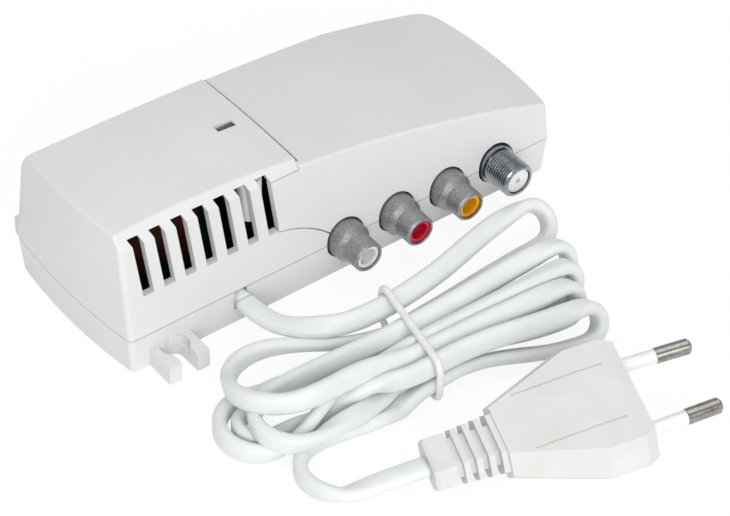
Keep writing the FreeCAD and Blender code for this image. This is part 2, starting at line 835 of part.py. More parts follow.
def build_capacitors():
    large = capacitor("reservoir", -19.5, 12, size("reservoir_radius"), size("reservoir_height"))
    small = [capacitor("smoothing_%d" % index, x, y, size("smoothing_radius"), size("smoothing_height"))
             for index, (x, y) in enumerate([(-7, 16.5), (1, 16.5), (50.5, -8)])]
    return [named(large, "reservoir_capacitor"), named(join("smoothing", *small), "smoothing_capacitors")]


def build_supply_parts():
    rectifier = box("rectifier_block", (-24, -16, board_top), (-16, -10, board_top + 5))
    notch = rod("rectifier_mark", (-24, -13, board_top - 1), 0.8, 8)
    body = box("regulator_body", (-11, 4, board_top), (-1, 8.6, board_top + 9))
    tab = box("regulator_tab", (-11, 7.3, board_top + 8.5), (-1, 8.6, board_top + 15.6))
    hole = rod("regulator_hole", (-6, 6, board_top + 12.6), 1.8, 4, "Y")
    glass = rod("fuse_glass", (-48, -14.5, board_top + 3.4), 2.3, 20, "X")
    caps = [rod("fuse_cap_%d" % index, (x, -14.5, board_top + 3.4), 2.6, 5.2, "X")
            for index, x in enumerate((-48.2, -33.0))]
    feet = [box("fuse_clip_%d" % index, (x, -16.4, board_top), (x + 3.2, -12.6, board_top + 3.4))
            for index, x in enumerate((-47.2, -32.0))]
    return [named(cut("rectifier", rectifier, notch), "bridge_rectifier"),
            named(cut("regulator", join("regulator_whole", body, tab), hole), "voltage_regulator"),
            named(join("fuse", glass, *(caps + feet)), "mains_fuse")]


def build_tuner():
    x, y = size("tuner_x"), size("tuner_y")
    half_x, half_y = size("tuner_length") / 2, size("tuner_depth") / 2
    top = board_top + size("tuner_height")
    can = box("tuner_block", (x - half_x, y - half_y, board_top), (x + half_x, y + half_y, top))
    hollow = box("tuner_hollow", (x - half_x + 0.5, y - half_y + 0.5, board_top - 1),
                 (x + half_x - 0.5, y + half_y - 0.5, top - 0.5))
    holes = [rod("tuner_hole_%d" % index, (x - 10 + 10 * index, y, top - 2), 1.6, 4) for index in range(3)]
    return [named(cut("tuner", can, hollow, *holes), "tuner_screen")]


# Setting switches and trimmers under the lid
def build_controls():
    count = int(float(size("switch_count")))
    pitch, x0, y0 = size("switch_pitch"), size("switch_x"), size("switch_y")
    half_x = pitch * count / 2 + 0.6
    half_y = size("switch_body_depth") / 2
    top = board_top + size("switch_body_height")
    body = box("switch_block", (x0 - half_x, y0 - half_y, board_top), (x0 + half_x, y0 + half_y, top))
    slots, sliders = [], []
    half_slot_x, half_slot_y = size("switch_slot_width") / 2, size("switch_slot_length") / 2
    running = size("switch_running_gap")
    for index in range(count):
        x = x0 + pitch * (index - (count - 1) / 2)
        slots.append(box("switch_slot_%d" % (index + 1),
                         (x - half_slot_x, y0 - half_slot_y, top - size("switch_slot_depth")),
                         (x + half_slot_x, y0 + half_slot_y, top + 1)))
        slider_length = size("switch_slot_length") - size("switch_travel") - 2 * running
        slider = box("slider_block_%d" % (index + 1),
                     (x - half_slot_x + running, y0 - half_slot_y + running, top - size("switch_slot_depth")
                      + running),
                     (x + half_slot_x - running, y0 - half_slot_y + running + slider_length, top + 0.7))
        sliders.append(named(slider, "channel_slider_%d" % (index + 1)))
    parts = [named(cut("switch_body", body, *slots), "channel_switch_body")] + sliders
    for index, tag in enumerate(("level", "balance")):
        x = size("trimmer_x") + size("trimmer_pitch") * (index - 0.5)
        y = y0
        case = box(tag + "_case", (x - 3.3, y - 3.3, board_top), (x + 3.3, y + 3.3, board_top + 3.6))
        well = rod(tag + "_well", (x, y, board_top + 1.6), size("trimmer_radius") + running, 4)
        parts.append(named(cut(tag + "_trimmer_case", case, well), tag + "_trimmer_body"))
        knob = rod(tag + "_knob", (x, y, board_top + 1.6 + running), size("trimmer_radius"), 2.4)
        slot_tool = box(tag + "_knob_slot", (x - 1.5, y - 0.3, board_top + 3.3), (x + 1.5, y + 0.3,
                                                                                 board_top + 6))
        parts.append(named(cut(tag + "_rotor", knob, slot_tool), tag + "_trimmer_rotor"))
    return parts


# Connectors; each is turned about its own axis, measured outwards from the front face
flange_back, flange_front, flange_radius = 4.0, 3.1, 6.3
solder_depth = 9.0


def solder_leg(name, x, bore):
    """A tab from the board up into the wall of a shell."""
    return box(name, (x - 1, front_y + 6.9, board_top), (x + 1, front_y + 8.5, parting - bore - 0.3))


def build_phono(colour, x):
    barrel, bore = size("phono_barrel_radius"), size("phono_barrel_radius") - size("phono_wall")
    reach, collar, shoulder = [size("phono_%sreach" % tag) for tag in ("", "collar_", "shoulder_")]
    hole = size("jack_hole_radius") - size("jack_clearance")
    inside = size("phono_depth_inside")
    shell = turned(colour + "_turned_shell", [
        (-solder_depth, bore), (-solder_depth, barrel), (-flange_back, barrel), (-flange_back, flange_radius),
        (-flange_front, flange_radius), (-flange_front, hole), (collar, hole), (collar + 0.5, hole - 0.2),
        (shoulder, barrel), (reach - 0.5, barrel), (reach, barrel - 0.4), (reach, bore + 0.15),
        (reach - 0.15, bore)])
    turn_to_front(shell, x, front_y, parting)
    shell = join(colour + "_shell", shell, solder_leg(colour + "_leg", x, bore))
    contact = size("phono_bore_radius") - 0.1
    contact_bore = size("phono_contact_bore_radius")
    depth = reach - size("phono_contact_recess")
    ring = bore - size("insulator_clearance")
    insulator = turned(colour + "_turned_insulator", [
        (-solder_depth, contact), (-solder_depth, ring), (reach - 0.8, ring), (reach - 0.6, ring - 0.2),
        (reach - 0.6, contact + 0.1), (reach - 0.9, contact)])
    centre = turned(colour + "_turned_contact", [
        (-solder_depth - 1.5, 0), (-solder_depth - 1.5, 0.9), (-solder_depth, 0.9), (-solder_depth, contact),
        (depth - 0.2, contact), (depth, contact - 0.2), (depth, contact_bore), (-inside, contact_bore),
        (-inside, 0)])
    for body in (insulator, centre):
        turn_to_front(body, x, front_y, parting)
    return [named(shell, colour + "_jack_shell"), named(insulator, colour + "_jack_insulator"),
            named(centre, colour + "_jack_contact")]


def build_aerial(x):
    crest, depth = size("aerial_thread_radius"), size("aerial_thread_depth")
    pitch, reach = size("aerial_thread_pitch"), size("aerial_reach")
    hole = size("jack_hole_radius") - size("jack_clearance")
    bore = size("aerial_insulator_radius")
    profile = [(-solder_depth, bore), (-solder_depth, crest), (-flange_back, crest),
               (-flange_back, flange_radius), (-flange_front, flange_radius), (-flange_front, hole),
               (0.6, hole), (0.6, crest - depth)]
    start = reach - 0.35 - pitch * size("aerial_thread_count")
    for turn in range(int(float(size("aerial_thread_count")))):
        near = start + pitch * turn
        profile += [(near, crest - depth), (near + pitch * 0.4, crest), (near + pitch * 0.6, crest)]
    profile += [(reach - 0.35, crest - depth + 0.1), (reach, crest - depth - 0.1), (reach, bore)]
    shell = turn_to_front(turned("aerial_turned_shell", profile), x, front_y, parting)
    shell = join("aerial_shell", shell, solder_leg("aerial_leg", x, bore))
    pin_bore = size("aerial_pin_bore_radius")
    ring = bore - size("insulator_clearance")
    insulator = turned("aerial_turned_insulator", [
        (-solder_depth, pin_bore + 0.5), (-solder_depth, ring), (reach - 1.5, ring),
        (reach - 1.5, ring - 0.2), (reach - 0.5, ring - 0.2),
        (reach - 0.5, pin_bore), (reach - 2.5, pin_bore), (reach - 2.5, pin_bore + 0.5)])
    contact = turned("aerial_turned_contact", [
        (-solder_depth - 1.5, 0), (-solder_depth - 1.5, pin_bore + 0.5), (reach - 2.5, pin_bore + 0.5),
        (reach - 2.5, pin_bore - 0.2), (0, pin_bore - 0.2), (0, 0)])
    for body in (insulator, contact):
        turn_to_front(body, x, front_y, parting)
    return [named(shell, "aerial_shell_threaded"), named(insulator, "aerial_insulator"),
            named(contact, "aerial_contact")]


def build_connectors():
    parts = []
    for colour, x in zip(("white", "red", "yellow"), jack_x):
        parts += build_phono(colour, x)
    return parts + build_aerial(jack_x[3])


# Mains plug; its own X axis runs from the cord towards the pins, with X = 0 on its face
def plug_turn():
    """The plug's heading, with its nose and its left side a little off the floor."""
    return Rotation(float(size("plug_heading")), -float(size("plug_rise")), float(size("plug_roll")))


def plug_point(along, left=0.0):
    """A point on the plug's middle plane."""
    origin = Vector(*[float(size("plug_" + axis)) for axis in "xyz"])
    return origin + plug_turn().multVec(Vector(float(along), float(left), 0))


def lay_plug(solid, left=0.0, turn=0.0):
    solid.Placement = Placement(plug_point(0, left), plug_turn().multiply(Rotation(Vector(0, 0, 1), turn)))
    return solid


def plug_section(half_width, half_height):
    top = half_width - size("plug_top_inset") * 2 * half_height / size("plug_thickness")
    return [(-half_width, 0), (-top, -half_height), (top, -half_height),
            (half_width, 0), (top, half_height), (-top, half_height)]


def pin_turn(tag, side, profile):
    """A turned piece on a pin's axis; the pins lean towards each other."""
    lean = math.degrees(math.asin(
        float(size("pin_pitch") - size("pin_tip_pitch")) / 2 / float(size("pin_length"))))
    return lay_plug(turned(tag, profile), side * float(size("pin_pitch")) / 2, -side * lean)


def plug_crease(tag, side):
    """A fine line pressed into the plug's top, over a pin."""
    thick, thin = size("plug_thickness") / 2, size("plug_tail_thickness") / 2
    length, shoulder = size("plug_length"), size("plug_shoulder")
    middle = side * size("plug_crease_spread") / 2

    def outline(top):
        return [(middle - 0.25, top - 0.3), (middle + 0.25, top - 0.3), (middle + 0.25, top + 1),
                (middle - 0.25, top + 1)]
    back = 6
    top_at_back = thin + (thick - thin) * back / (length - shoulder)
    return lay_plug(lofted("plug_crease_" + tag, "YZ", [
        (back - length, outline(top_at_back)), (-shoulder, outline(thick)), (-5, outline(thick))]))


def build_relief():
    """The ribbed sleeve where the cord enters: a block at its end and ribs up to the body."""
    half, thick = size("relief_width") / 2, size("relief_thickness") / 2
    low, high = -size("plug_length") - size("relief_length"), -size("plug_length")
    block = size("relief_block_length")
    solids = [prism("relief_core", "YZ", plug_section(half - 1.7, thick - 1.1), low + 1, high + 1),
              lofted("relief_block", "YZ", [(low, plug_section(half - 0.6, thick - 0.4)),
                                            (low + 0.8, plug_section(half, thick)),
                                            (low + block, plug_section(half, thick))])]
    count = int(float(size("relief_rib_count")))
    pitch = (size("relief_length") - block) / count
    for index in range(count):
        near = low + block + pitch * (index + 0.5)
        grow = 0.25 * (index + 1)
        solids.append(prism("relief_rib_%d" % index, "YZ", plug_section(half + grow, thick + grow * 0.5),
                            near, near + pitch * 0.5))
    return solids


def build_plug():
    half, tail = size("plug_width") / 2, size("plug_tail_width") / 2
    thick, thin = size("plug_thickness") / 2, size("plug_tail_thickness") / 2
    chamfer = size("plug_nose_chamfer")
    block = lofted("plug_block", "YZ", [
        (-size("plug_length"), plug_section(tail, thin)), (-size("plug_shoulder"), plug_section(half, thick)),
        (-chamfer, plug_section(half, thick)), (0, plug_section(half - 0.6 * chamfer, thick - 0.3))])
    whole = lay_plug(join("plug_whole", block, *build_relief()))
    depth = 8.0
    radius, sleeve, core = size("pin_radius"), size("sleeve_radius"), size("sleeve_core_radius")
    length, cover = size("pin_length"), size("sleeve_length")
    collar_start, collar_end, collar = 0.1, 1.3, sleeve + 0.9
    parts, tools = [], []
    for tag, side in (("left", 1), ("right", -1)):
        tools.append(plug_crease(tag, side))
        tools.append(pin_turn("pin_bore_" + tag, side, [
            (-depth, 0), (-depth, radius), (-1, radius), (-1, sleeve), (1, sleeve), (1, 0)]))
        parts.append(named(pin_turn("pin_" + tag, side, [
            (-depth, 0), (-depth, radius), (-1, radius), (-1, core), (cover, core), (cover, radius),
            (length - 0.9, radius), (length - 0.3, radius - 0.5), (length, radius - 1.1), (length, 0)]),
            "plug_pin_" + tag))
        parts.append(named(pin_turn("sleeve_" + tag, side, [
            (-1, core), (-1, sleeve), (collar_start, sleeve), (collar_start, collar), (collar_end, collar),
            (collar_end + 0.3, sleeve), (cover - 0.1, sleeve), (cover, sleeve - 0.1), (cover, core)]),
            "pin_sleeve_" + tag))
    return [named(cut("plug", whole, *tools), "plug_body")] + parts


# Supply cord
tube_radius = float(size("cord_tube_diameter")) / 2


def line(start, end):
    return Part.LineSegment(start, end)


def rounded_route(points):
    """Straight runs joined by tangent arcs; prints the tightest arc."""
    edges, at, tightest = [], points[0], None
    for before, corner, after in zip(points, points[1:], points[2:]):
        coming, going = (corner - before), (after - corner)
        shorter = min(coming.Length, going.Length)
        coming.normalize()
        going.normalize()
        half_turn = coming.getAngle(going) / 2
        setback = 0.45 * shorter
        radius = setback / math.tan(half_turn)
        tightest = radius if tightest is None else min(radius, tightest)
        start, end = corner - coming * setback, corner + going * setback
        inward = (going - coming).normalize()
        middle = corner + inward * (radius / math.cos(half_turn) - radius)
        edges += [line(at, start), Part.Arc(start, middle, end)]
        at = end
    edges.append(line(at, points[-1]))
    return edges, tightest


def tube(label, edges, radius):
    """A round tube along the edges, as one solid."""
    wire = Part.Wire([edge.toShape() for edge in edges])
    start = wire.OrderedEdges[0]
    normal = start.tangentAt(start.FirstParameter)
    profile = Part.Wire([Part.makeCircle(radius, start.valueAt(start.FirstParameter), normal)])
    solid = wire.makePipeShell([profile], True, False)
    if solid.Volume < 0:
        solid.reverse()
    expected = math.pi * radius * radius * wire.Length
    print("%s: length %.1f, volume %.4f of the section times the length"
          % (label, wire.Length, solid.Volume / expected))
    node = doc.addObject("Part::Feature", label)
    node.Shape = solid
    node.Placement = Placement()
    return node


FLOOR = tube_radius
WAIST_LOW, WAIST_HIGH, FOLD_HIGH = 4.3, 9.4, 11.6
WAIST_X = (-11.5, -4.0)
PASSES = 5
PASS_PITCH, PASS_DROP = 5.4, 2.7
FIRST_PASS_Y = -50.7
ENTRY = (float(size("cord_exit_x")), float(front_y) - float(size("cord_stub_reach")),
         float(size("cord_exit_height")))
LEAD = [ENTRY, (ENTRY[0], -37.6, ENTRY[2]), (-28.3, -45.9, 9.2), (-20.0, FIRST_PASS_Y, WAIST_HIGH)]
# where each right-hand fold turns: its tip's x, and the y of its upper arm
RIGHT_FOLDS = ((48, -44.5), (42, -60), (38.5, -67), (35, -73.3), (33.5, -81))
# each left-hand loop: its tip's x, the y of its lower arm, its width, the heights of its two arms
LEFT_LOOPS = ((-54.5, -40.6, 16.7, 3.9, 13.8), (-58.5, -48.7, 15.2, 2.3, 12.7),
              (-65.3, -58.2, 14.5, 2.3, 12.7), (-63.3, -64.3, 13.6, 2.3, 7.7))
HANK_END = (-42.8, -73.2, FLOOR)
TAIL = [HANK_END, (-48.4, -73.2, FLOOR), (-53.0, -76.4, FLOOR), (-55.0, -81.7, FLOOR), (-53.6, -87.1, FLOOR),
        (-49.3, -90.7, 2.7)]


def sway(start, end):
    """Two equal arcs between two points whose tangents both lie along X."""
    start, end = Vector(*start), Vector(*end)
    across = end - start
    across.x = 0
    if across.Length < 1e-6:
        return [line(start, end)]
    run, lateral = abs(end.x - start.x), across.Length
    radius = (run * run + lateral * lateral) / (4 * lateral)
    turn = 2 * math.atan2(lateral, run)
    along = Vector(1 if end.x > start.x else -1, 0, 0)
    side = across * (1 / lateral)
    centre = (start + end) * 0.5
    first = start + along * (radius * math.sin(turn / 2)) + side * (radius * (1 - math.cos(turn / 2)))
    last = end - along * (radius * math.sin(turn / 2)) - side * (radius * (1 - math.cos(turn / 2)))
    return [Part.Arc(start, first, centre), Part.Arc(centre, last, end)]


def fold(start, end, outward):
    """A half turn between two points with the same x, as two quarter arcs."""
    start, end = Vector(*start), Vector(*end)
    centre = (start + end) * 0.5
    radius = (end - start).Length / 2
    along = Vector(outward, 0, 0)
    side = (end - start).normalize()
    edges, at = [], start
    for step in (1, 2):
        angles = [math.pi * (step - 1) / 2 + math.pi / 4, math.pi * step / 2]
        middle, stop = [centre - side * (radius * math.cos(angle)) + along * (radius * math.sin(angle))
                        for angle in angles]
        edges.append(Part.Arc(at, middle, stop))
        at = stop
    return edges


def hank_route():
    """Five long loops, folded at the right and open at the left, drawn in where the tie holds them."""
    left, right = WAIST_X
    edges = []
    for index in range(PASSES):
        upper = FIRST_PASS_Y - PASS_PITCH * index
        lower = upper - PASS_DROP
        edges.append(line(Vector(left, upper, WAIST_HIGH), Vector(right, upper, WAIST_HIGH)))
        reach, fold_y = RIGHT_FOLDS[index]
        turn_x = reach - math.hypot(PASS_DROP, FOLD_HIGH - FLOOR) / 2
        top, bottom = (turn_x, fold_y, FOLD_HIGH), (turn_x, fold_y - PASS_DROP, FLOOR)
        edges += sway((right, upper, WAIST_HIGH), top) + fold(top, bottom, 1)
        edges += sway(bottom, (right, lower, WAIST_LOW))
        edges.append(line(Vector(right, lower, WAIST_LOW), Vector(left, lower, WAIST_LOW)))
        if index < len(LEFT_LOOPS):
            reach, loop_y, width, low, high = LEFT_LOOPS[index]
            turn_x = reach + math.hypot(width, high - low) / 2
            bottom, top = (turn_x, loop_y, low), (turn_x, loop_y - width, high)
            edges += sway((left, lower, WAIST_LOW), bottom) + fold(bottom, top, -1)
            edges += sway(top, (left, upper - PASS_PITCH, WAIST_HIGH))
        else:
            edges += sway((left, lower, WAIST_LOW), HANK_END)
    return edges


def least_gap(edges, step=1.0):
    """The least distance between two places of the route that lie further apart along it."""
    points, travelled = [], []
    total = 0.0
    for edge in edges:
        shape = edge.toShape()
        count = max(2, int(shape.Length / step))
        points += shape.discretize(count + 1)[:-1]
        travelled += [total + shape.Length * index / count for index in range(count)]
        total += shape.Length
    least = 1e9
    for first, here in enumerate(points):
        for second in range(first + 1, len(points)):
            if travelled[second] - travelled[first] > 14:
                least = min(least, (points[second] - here).Length)
    return least - 2 * tube_radius


def build_cord():
    half_x, half_z = size("cord_thickness") / 2, size("cord_width") / 2
    x, z = size("cord_exit_x"), size("cord_exit_height")
    flat = half_z - half_x
    inner_y = front_y + 5.9
    stub = prism("entry_section", "XZ", [(x - half_x, z - flat), (x + half_x, z - flat),
                                         (x + half_x, z + flat), (x - half_x, z + flat)],
                 front_y - size("cord_stub_reach"), inner_y, {0: 0.98 * half_x, 2: 0.98 * half_x})
    clamp = box("clamp_block", (x - 4.5, front_y + 3.3, size("floor_thickness")),
                (x + 4.5, front_y + 5.7, parting + 1.6))
    passage = box("clamp_passage", (x - half_x, front_y + 3, z - half_z), (x + half_x, front_y + 6, z + half_z))
    lead_points = [Vector(*point) for point in LEAD] + [Vector(WAIST_X[0], FIRST_PASS_Y, WAIST_HIGH)]
    lead_edges, lead_radius = rounded_route(lead_points)
    back = float(size("plug_length")) + float(size("relief_length"))
    tail_points = [Vector(*point) for point in TAIL] + [plug_point(-back - 8.8), plug_point(-back)]
    tail_edges, tail_radius = rounded_route(tail_points)
    hank = hank_route()
    print("least radius of the lead %.1f, of the tail %.1f; the hank's least gap to itself %.2f"
          % (lead_radius, tail_radius, least_gap(hank)))
    nodes = [tube("cord_lead", lead_edges, tube_radius), tube("cord_hank", hank, tube_radius),
             tube("cord_tail", tail_edges, tube_radius)]
    return [named(stub, "cord_entry"), named(cut("clamp", clamp, passage), "cord_clamp")] + nodes


def build_tie():
    """A round wire bent once around the waist, standing a little askew."""
    radius, slack = 0.9, 0.15
    lowest_y = FIRST_PASS_Y - PASS_PITCH * (PASSES - 1) - PASS_DROP
    near = FIRST_PASS_Y + tube_radius + radius + slack
    far = lowest_y - tube_radius - radius - slack
    low, high = radius, WAIST_HIGH + tube_radius + radius + slack
    corner = 3.0
    skew = math.tan(math.radians(12))

    def at(y, z):
        return Vector(-9.2 + (y - (near + far) / 2) * skew, y, z)
    slant = corner * (1 - math.sqrt(0.5))
    edges = [line(at((near + far) / 2, low), at(near - corner, low)),
             Part.Arc(at(near - corner, low), at(near - slant, low + slant), at(near, low + corner)),
             line(at(near, low + corner), at(near, high - corner)),
             Part.Arc(at(near, high - corner), at(near - slant, high - slant), at(near - corner, high)),
             line(at(near - corner, high), at(far + corner, high)),
             Part.Arc(at(far + corner, high), at(far + slant, high - slant), at(far, high - corner)),
             line(at(far, high - corner), at(far, low + corner)),
             Part.Arc(at(far, low + corner), at(far + slant, low + slant), at(far + corner, low)),
             line(at(far + corner, low), at((near + far) / 2 - 0.3, low))]
    return [tube("hank_tie", edges, radius)]


def check_and_export(parts):
    doc.recompute()
    for item in doc.Objects:
        if "Invalid" in item.State or "Error" in item.State:
            raise RuntimeError("%s is %s" % (item.Label, item.State))
    for part in parts:
        if part.Shape.isNull() or not part.Shape.isValid():
            raise RuntimeError(part.Label + " has no valid shape")
    os.makedirs("parts", exist_ok=True)
    for part in parts:
        part.Shape.exportStep("parts/%s.step" % part.Label)
        print("%-24s solids %2d volume %9.1f" % (part.Label, len(part.Shape.Solids), part.Shape.Volume))


check_and_export([build_tray()] + build_covers() + build_indicator() + build_screws() + build_board()
                 + build_transformer() + build_capacitors() + build_supply_parts() + build_tuner()
                 + build_controls() + build_connectors() + build_plug() + build_cord() + build_tie())
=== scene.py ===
import json
import math

import bpy
import numpy
from mathutils import Matrix, Vector


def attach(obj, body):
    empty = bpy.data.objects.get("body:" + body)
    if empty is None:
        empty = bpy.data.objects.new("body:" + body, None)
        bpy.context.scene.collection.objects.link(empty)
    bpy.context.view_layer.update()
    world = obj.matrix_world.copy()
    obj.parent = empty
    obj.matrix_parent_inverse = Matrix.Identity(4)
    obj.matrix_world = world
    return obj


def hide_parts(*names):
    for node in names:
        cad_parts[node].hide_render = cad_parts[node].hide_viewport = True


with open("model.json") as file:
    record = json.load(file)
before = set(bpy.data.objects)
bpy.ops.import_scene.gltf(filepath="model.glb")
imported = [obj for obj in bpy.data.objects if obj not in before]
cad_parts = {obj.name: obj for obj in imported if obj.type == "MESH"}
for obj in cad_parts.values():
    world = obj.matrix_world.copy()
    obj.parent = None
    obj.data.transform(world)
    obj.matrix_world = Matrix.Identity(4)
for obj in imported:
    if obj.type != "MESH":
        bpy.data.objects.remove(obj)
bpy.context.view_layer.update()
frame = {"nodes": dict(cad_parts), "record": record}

MM = 0.001
HOUSING = "housing"


# Colour, nodes and materials
def linear(hex_colour):
    """An sRGB hex colour as opaque linear RGBA."""
    parts = [int(hex_colour[at:at + 2], 16) / 255 for at in (1, 3, 5)]
    return tuple(p / 12.92 if p <= 0.04045 else ((p + 0.055) / 1.055) ** 2.4 for p in parts) + (1.0,)


def add(tree, kind, inputs=None, **settings):
    """Adds a node with its settings; an input is a value or another node's output socket."""
    made = tree.nodes.new(kind)
    for name, value in settings.items():
        setattr(made, name, value)
    for name, value in (inputs or {}).items():
        if isinstance(value, bpy.types.NodeSocket):
            tree.links.new(value, made.inputs[name])
        else:
            made.inputs[name].default_value = value
    return made


def material(name, **values):
    """A material with one Principled shader; values are its sockets, spaces written as _."""
    made = bpy.data.materials.new(name)
    made.use_nodes = True
    shader = made.node_tree.nodes["Principled BSDF"]
    for key, value in values.items():
        shader.inputs[key.replace("_", " ")].default_value = value
    return made, made.node_tree, shader


def object_place(tree, scale=(1, 1, 1)):
    """Object coordinates, stretched for a pattern."""
    place = add(tree, "ShaderNodeTexCoord").outputs["Object"]
    return add(tree, "ShaderNodeMapping", {"Vector": place, "Scale": scale}).outputs["Vector"]


def noise(tree, size_mm, detail=2.0, rough=0.5, place=None):
    """A noise whose blobs are about size_mm across."""
    place = place or object_place(tree)
    return add(tree, "ShaderNodeTexNoise", {"Vector": place, "Scale": 1 / (size_mm * MM), "Detail": detail,
                                            "Roughness": rough}).outputs["Fac"]


def spread(tree, value, low, high, at=(0.3, 0.7)):
    """Maps a 0 to 1 pattern onto low to high."""
    return add(tree, "ShaderNodeMapRange", {"Value": value, "From Min": at[0], "From Max": at[1], "To Min": low,
                                            "To Max": high}).outputs["Result"]


def bump(tree, shader, height, depth_mm, strength):
    """Raises the surface by a 0 to 1 pattern, depth_mm at its highest."""
    made = add(tree, "ShaderNodeBump", {"Height": height, "Distance": depth_mm * MM, "Strength": strength})
    tree.links.new(made.outputs["Normal"], shader.inputs["Normal"])


# The colour sockets of a mix node, which share their names with its number and vector sockets
MIX_FIRST, MIX_SECOND, MIX_RESULT = 6, 7, 2


def tint(tree, shader, mask, first, second):
    """Base colour between two colours by a 0 to 1 mask."""
    mixed = add(tree, "ShaderNodeMix", {"Factor": mask}, data_type="RGBA")
    mixed.inputs[MIX_FIRST].default_value = linear(first)
    mixed.inputs[MIX_SECOND].default_value = linear(second)
    tree.links.new(mixed.outputs[MIX_RESULT], shader.inputs["Base Color"])


# ABS, injection moulded in a finely eroded mould: even, satin, a little uneven in gloss
def moulded_abs():
    made, tree, shader = material("abs_injection_moulded_satin_white", IOR=1.53, Specular_IOR_Level=0.42)
    tint(tree, shader, spread(tree, noise(tree, 30, 1), 0, 1), "#DBDBDC", "#DFDFDF")
    tree.links.new(spread(tree, noise(tree, 4, 3), 0.38, 0.46), shader.inputs["Roughness"])
    # the eroded grain is finer than a pixel, so it is drawn at 0.35 mm
    bump(tree, shader, noise(tree, 0.35, 2), 0.006, 0.5)
    return made


# Zinc, pressure die cast and tumbled: dull grey metal with a grainy skin
def cast_zinc():
    made, tree, shader = material("zinc_die_cast_tumbled_grey", Metallic=0.85)
    grain = noise(tree, 0.45, 4, 0.65)
    tint(tree, shader, spread(tree, grain, 0, 1), "#77787A", "#B2B3B4")
    tree.links.new(spread(tree, noise(tree, 0.9, 3), 0.42, 0.62), shader.inputs["Roughness"])
    bump(tree, shader, grain, 0.05, 0.8)
    return made


def moulded_colour(name, low, high, rough=0.3):
    """Glossy moulded plastic, even in colour with slight flow marks."""
    made, tree, shader = material(name, IOR=1.5)
    tint(tree, shader, spread(tree, noise(tree, 2.5, 2), 0, 1), low, high)
    tree.links.new(spread(tree, noise(tree, 1.2, 2), rough - 0.04, rough + 0.06), shader.inputs["Roughness"])
    return made


# Brass pins and tubes, bright nickel plated: dark reflections with fine draw marks
def nickel_plate():
    made, tree, shader = material("brass_nickel_plated_bright", Metallic=1.0)
    tint(tree, shader, spread(tree, noise(tree, 1.5, 2), 0, 1), "#8F8C87", "#A8A5A0")
    tree.links.new(spread(tree, noise(tree, 0.8, 3), 0.12, 0.24), shader.inputs["Roughness"])
    return made


# PVC, extruded and soft: milky white, slightly waxy, faint draw lines and dents
def extruded_pvc(name, low, high, sheen_rough):
    made, tree, shader = material(name, IOR=1.52, Subsurface_Weight=0.12, Subsurface_Scale=1.5 * MM)
    shader.inputs["Subsurface Radius"].default_value = (1.0, 0.9, 0.8)
    tint(tree, shader, spread(tree, noise(tree, 8, 2), 0, 1), low, high)
    tree.links.new(spread(tree, noise(tree, 3, 2), sheen_rough - 0.05, sheen_rough + 0.07),
                   shader.inputs["Roughness"])
    bump(tree, shader, noise(tree, 1.6, 2), 0.02, 0.35)
    return made


# Turned steel, bright nickel plated: dark reflections, fine marks round the axis
def turned_nickel():
    made, tree, shader = material("steel_turned_nickel_plated", Metallic=1.0)
    tint(tree, shader, spread(tree, noise(tree, 1.5, 2), 0, 1), "#8B8E94", "#A5A8AD")
    tree.links.new(spread(tree, noise(tree, 0.8, 3), 0.16, 0.26), shader.inputs["Roughness"])
    bump(tree, shader, noise(tree, 0.15, 2, place=object_place(tree, (0.05, 1, 0.05))), 0.004, 0.6)
    return made


def plain(name, low, high, rough, metallic=0.0, grain_mm=1.0, depth_mm=0.01):
    """A plain inner part: two close colours, uneven gloss and a fine grain."""
    made, tree, shader = material(name, Metallic=metallic)
    tint(tree, shader, spread(tree, noise(tree, grain_mm * 3), 0, 1), low, high)
    tree.links.new(spread(tree, noise(tree, grain_mm), rough - 0.05, rough + 0.08), shader.inputs["Roughness"])
    bump(tree, shader, noise(tree, grain_mm, 3), depth_mm, 0.5)
    return made


def clear_acrylic():
    made, tree, shader = material("acrylic_moulded_clear", IOR=1.49, Transmission_Weight=0.9)
    tint(tree, shader, spread(tree, noise(tree, 2), 0, 1), "#DADDE0", "#E4E6E8")
    tree.links.new(spread(tree, noise(tree, 1), 0.05, 0.12), shader.inputs["Roughness"])
    return made


FINISHES = {
    "housing_plastic": moulded_abs(),
    "clear_lens": clear_acrylic(),
    "led_epoxy": plain("epoxy_cast_tinted", "#8E1A14", "#A32A20", 0.15),
    "black_plastic": plain("phenolic_moulded_black", "#0C0C0D", "#171718", 0.45),
    "zinc_steel": plain("steel_zinc_plated", "#A9A9A4", "#C2C2BE", 0.32, 1.0, 0.6),
    "circuit_laminate": plain("laminate_solder_resist_green", "#0C3A1E", "#124626", 0.4),
    "core_steel": plain("steel_laminations_varnished", "#3B3B3E", "#515154", 0.5, 0.7, 0.5),
    # coil tape: dark brown-red, its own reddish tone darkened as painted shade of the dim inside seen through
    # the slots
    "coil_tape": plain("polyester_tape_wound_painted_shade", "#45201A", "#542A20", 0.4),
    "capacitor_sleeve": plain("sleeve_shrunk_dark", "#14161F", "#1E2230", 0.3),
    "tinned_steel": plain("steel_sheet_tinned", "#AEAEA9", "#C9C9C5", 0.3, 1.0, 1.5),
    "fuse_glass": plain("glass_drawn_clear", "#AEB8B8", "#C4CCCC", 0.08),
    "die_cast_zinc": cast_zinc(),
    "nickelled_barrel": turned_nickel(),
    "white_plastic": moulded_colour("nylon_moulded_white", "#E6E6E6", "#EDEDED"),
    "red_plastic": moulded_colour("nylon_moulded_red", "#C0102E", "#CC1837"),
    "yellow_plastic": moulded_colour("nylon_moulded_yellow", "#E8A400", "#F2B010"),
    "plated_contact": nickel_plate(),
    "cord_pvc": extruded_pvc("pvc_extruded_soft_white", "#DEE2E0", "#E4E7E6", 0.38),
    "plug_pvc": extruded_pvc("pvc_overmoulded_white", "#D3D6D2", "#D9DBD8", 0.42),
    "switch_blue": plain("thermoplastic_moulded_blue", "#123A7A", "#1A4690", 0.4),
}
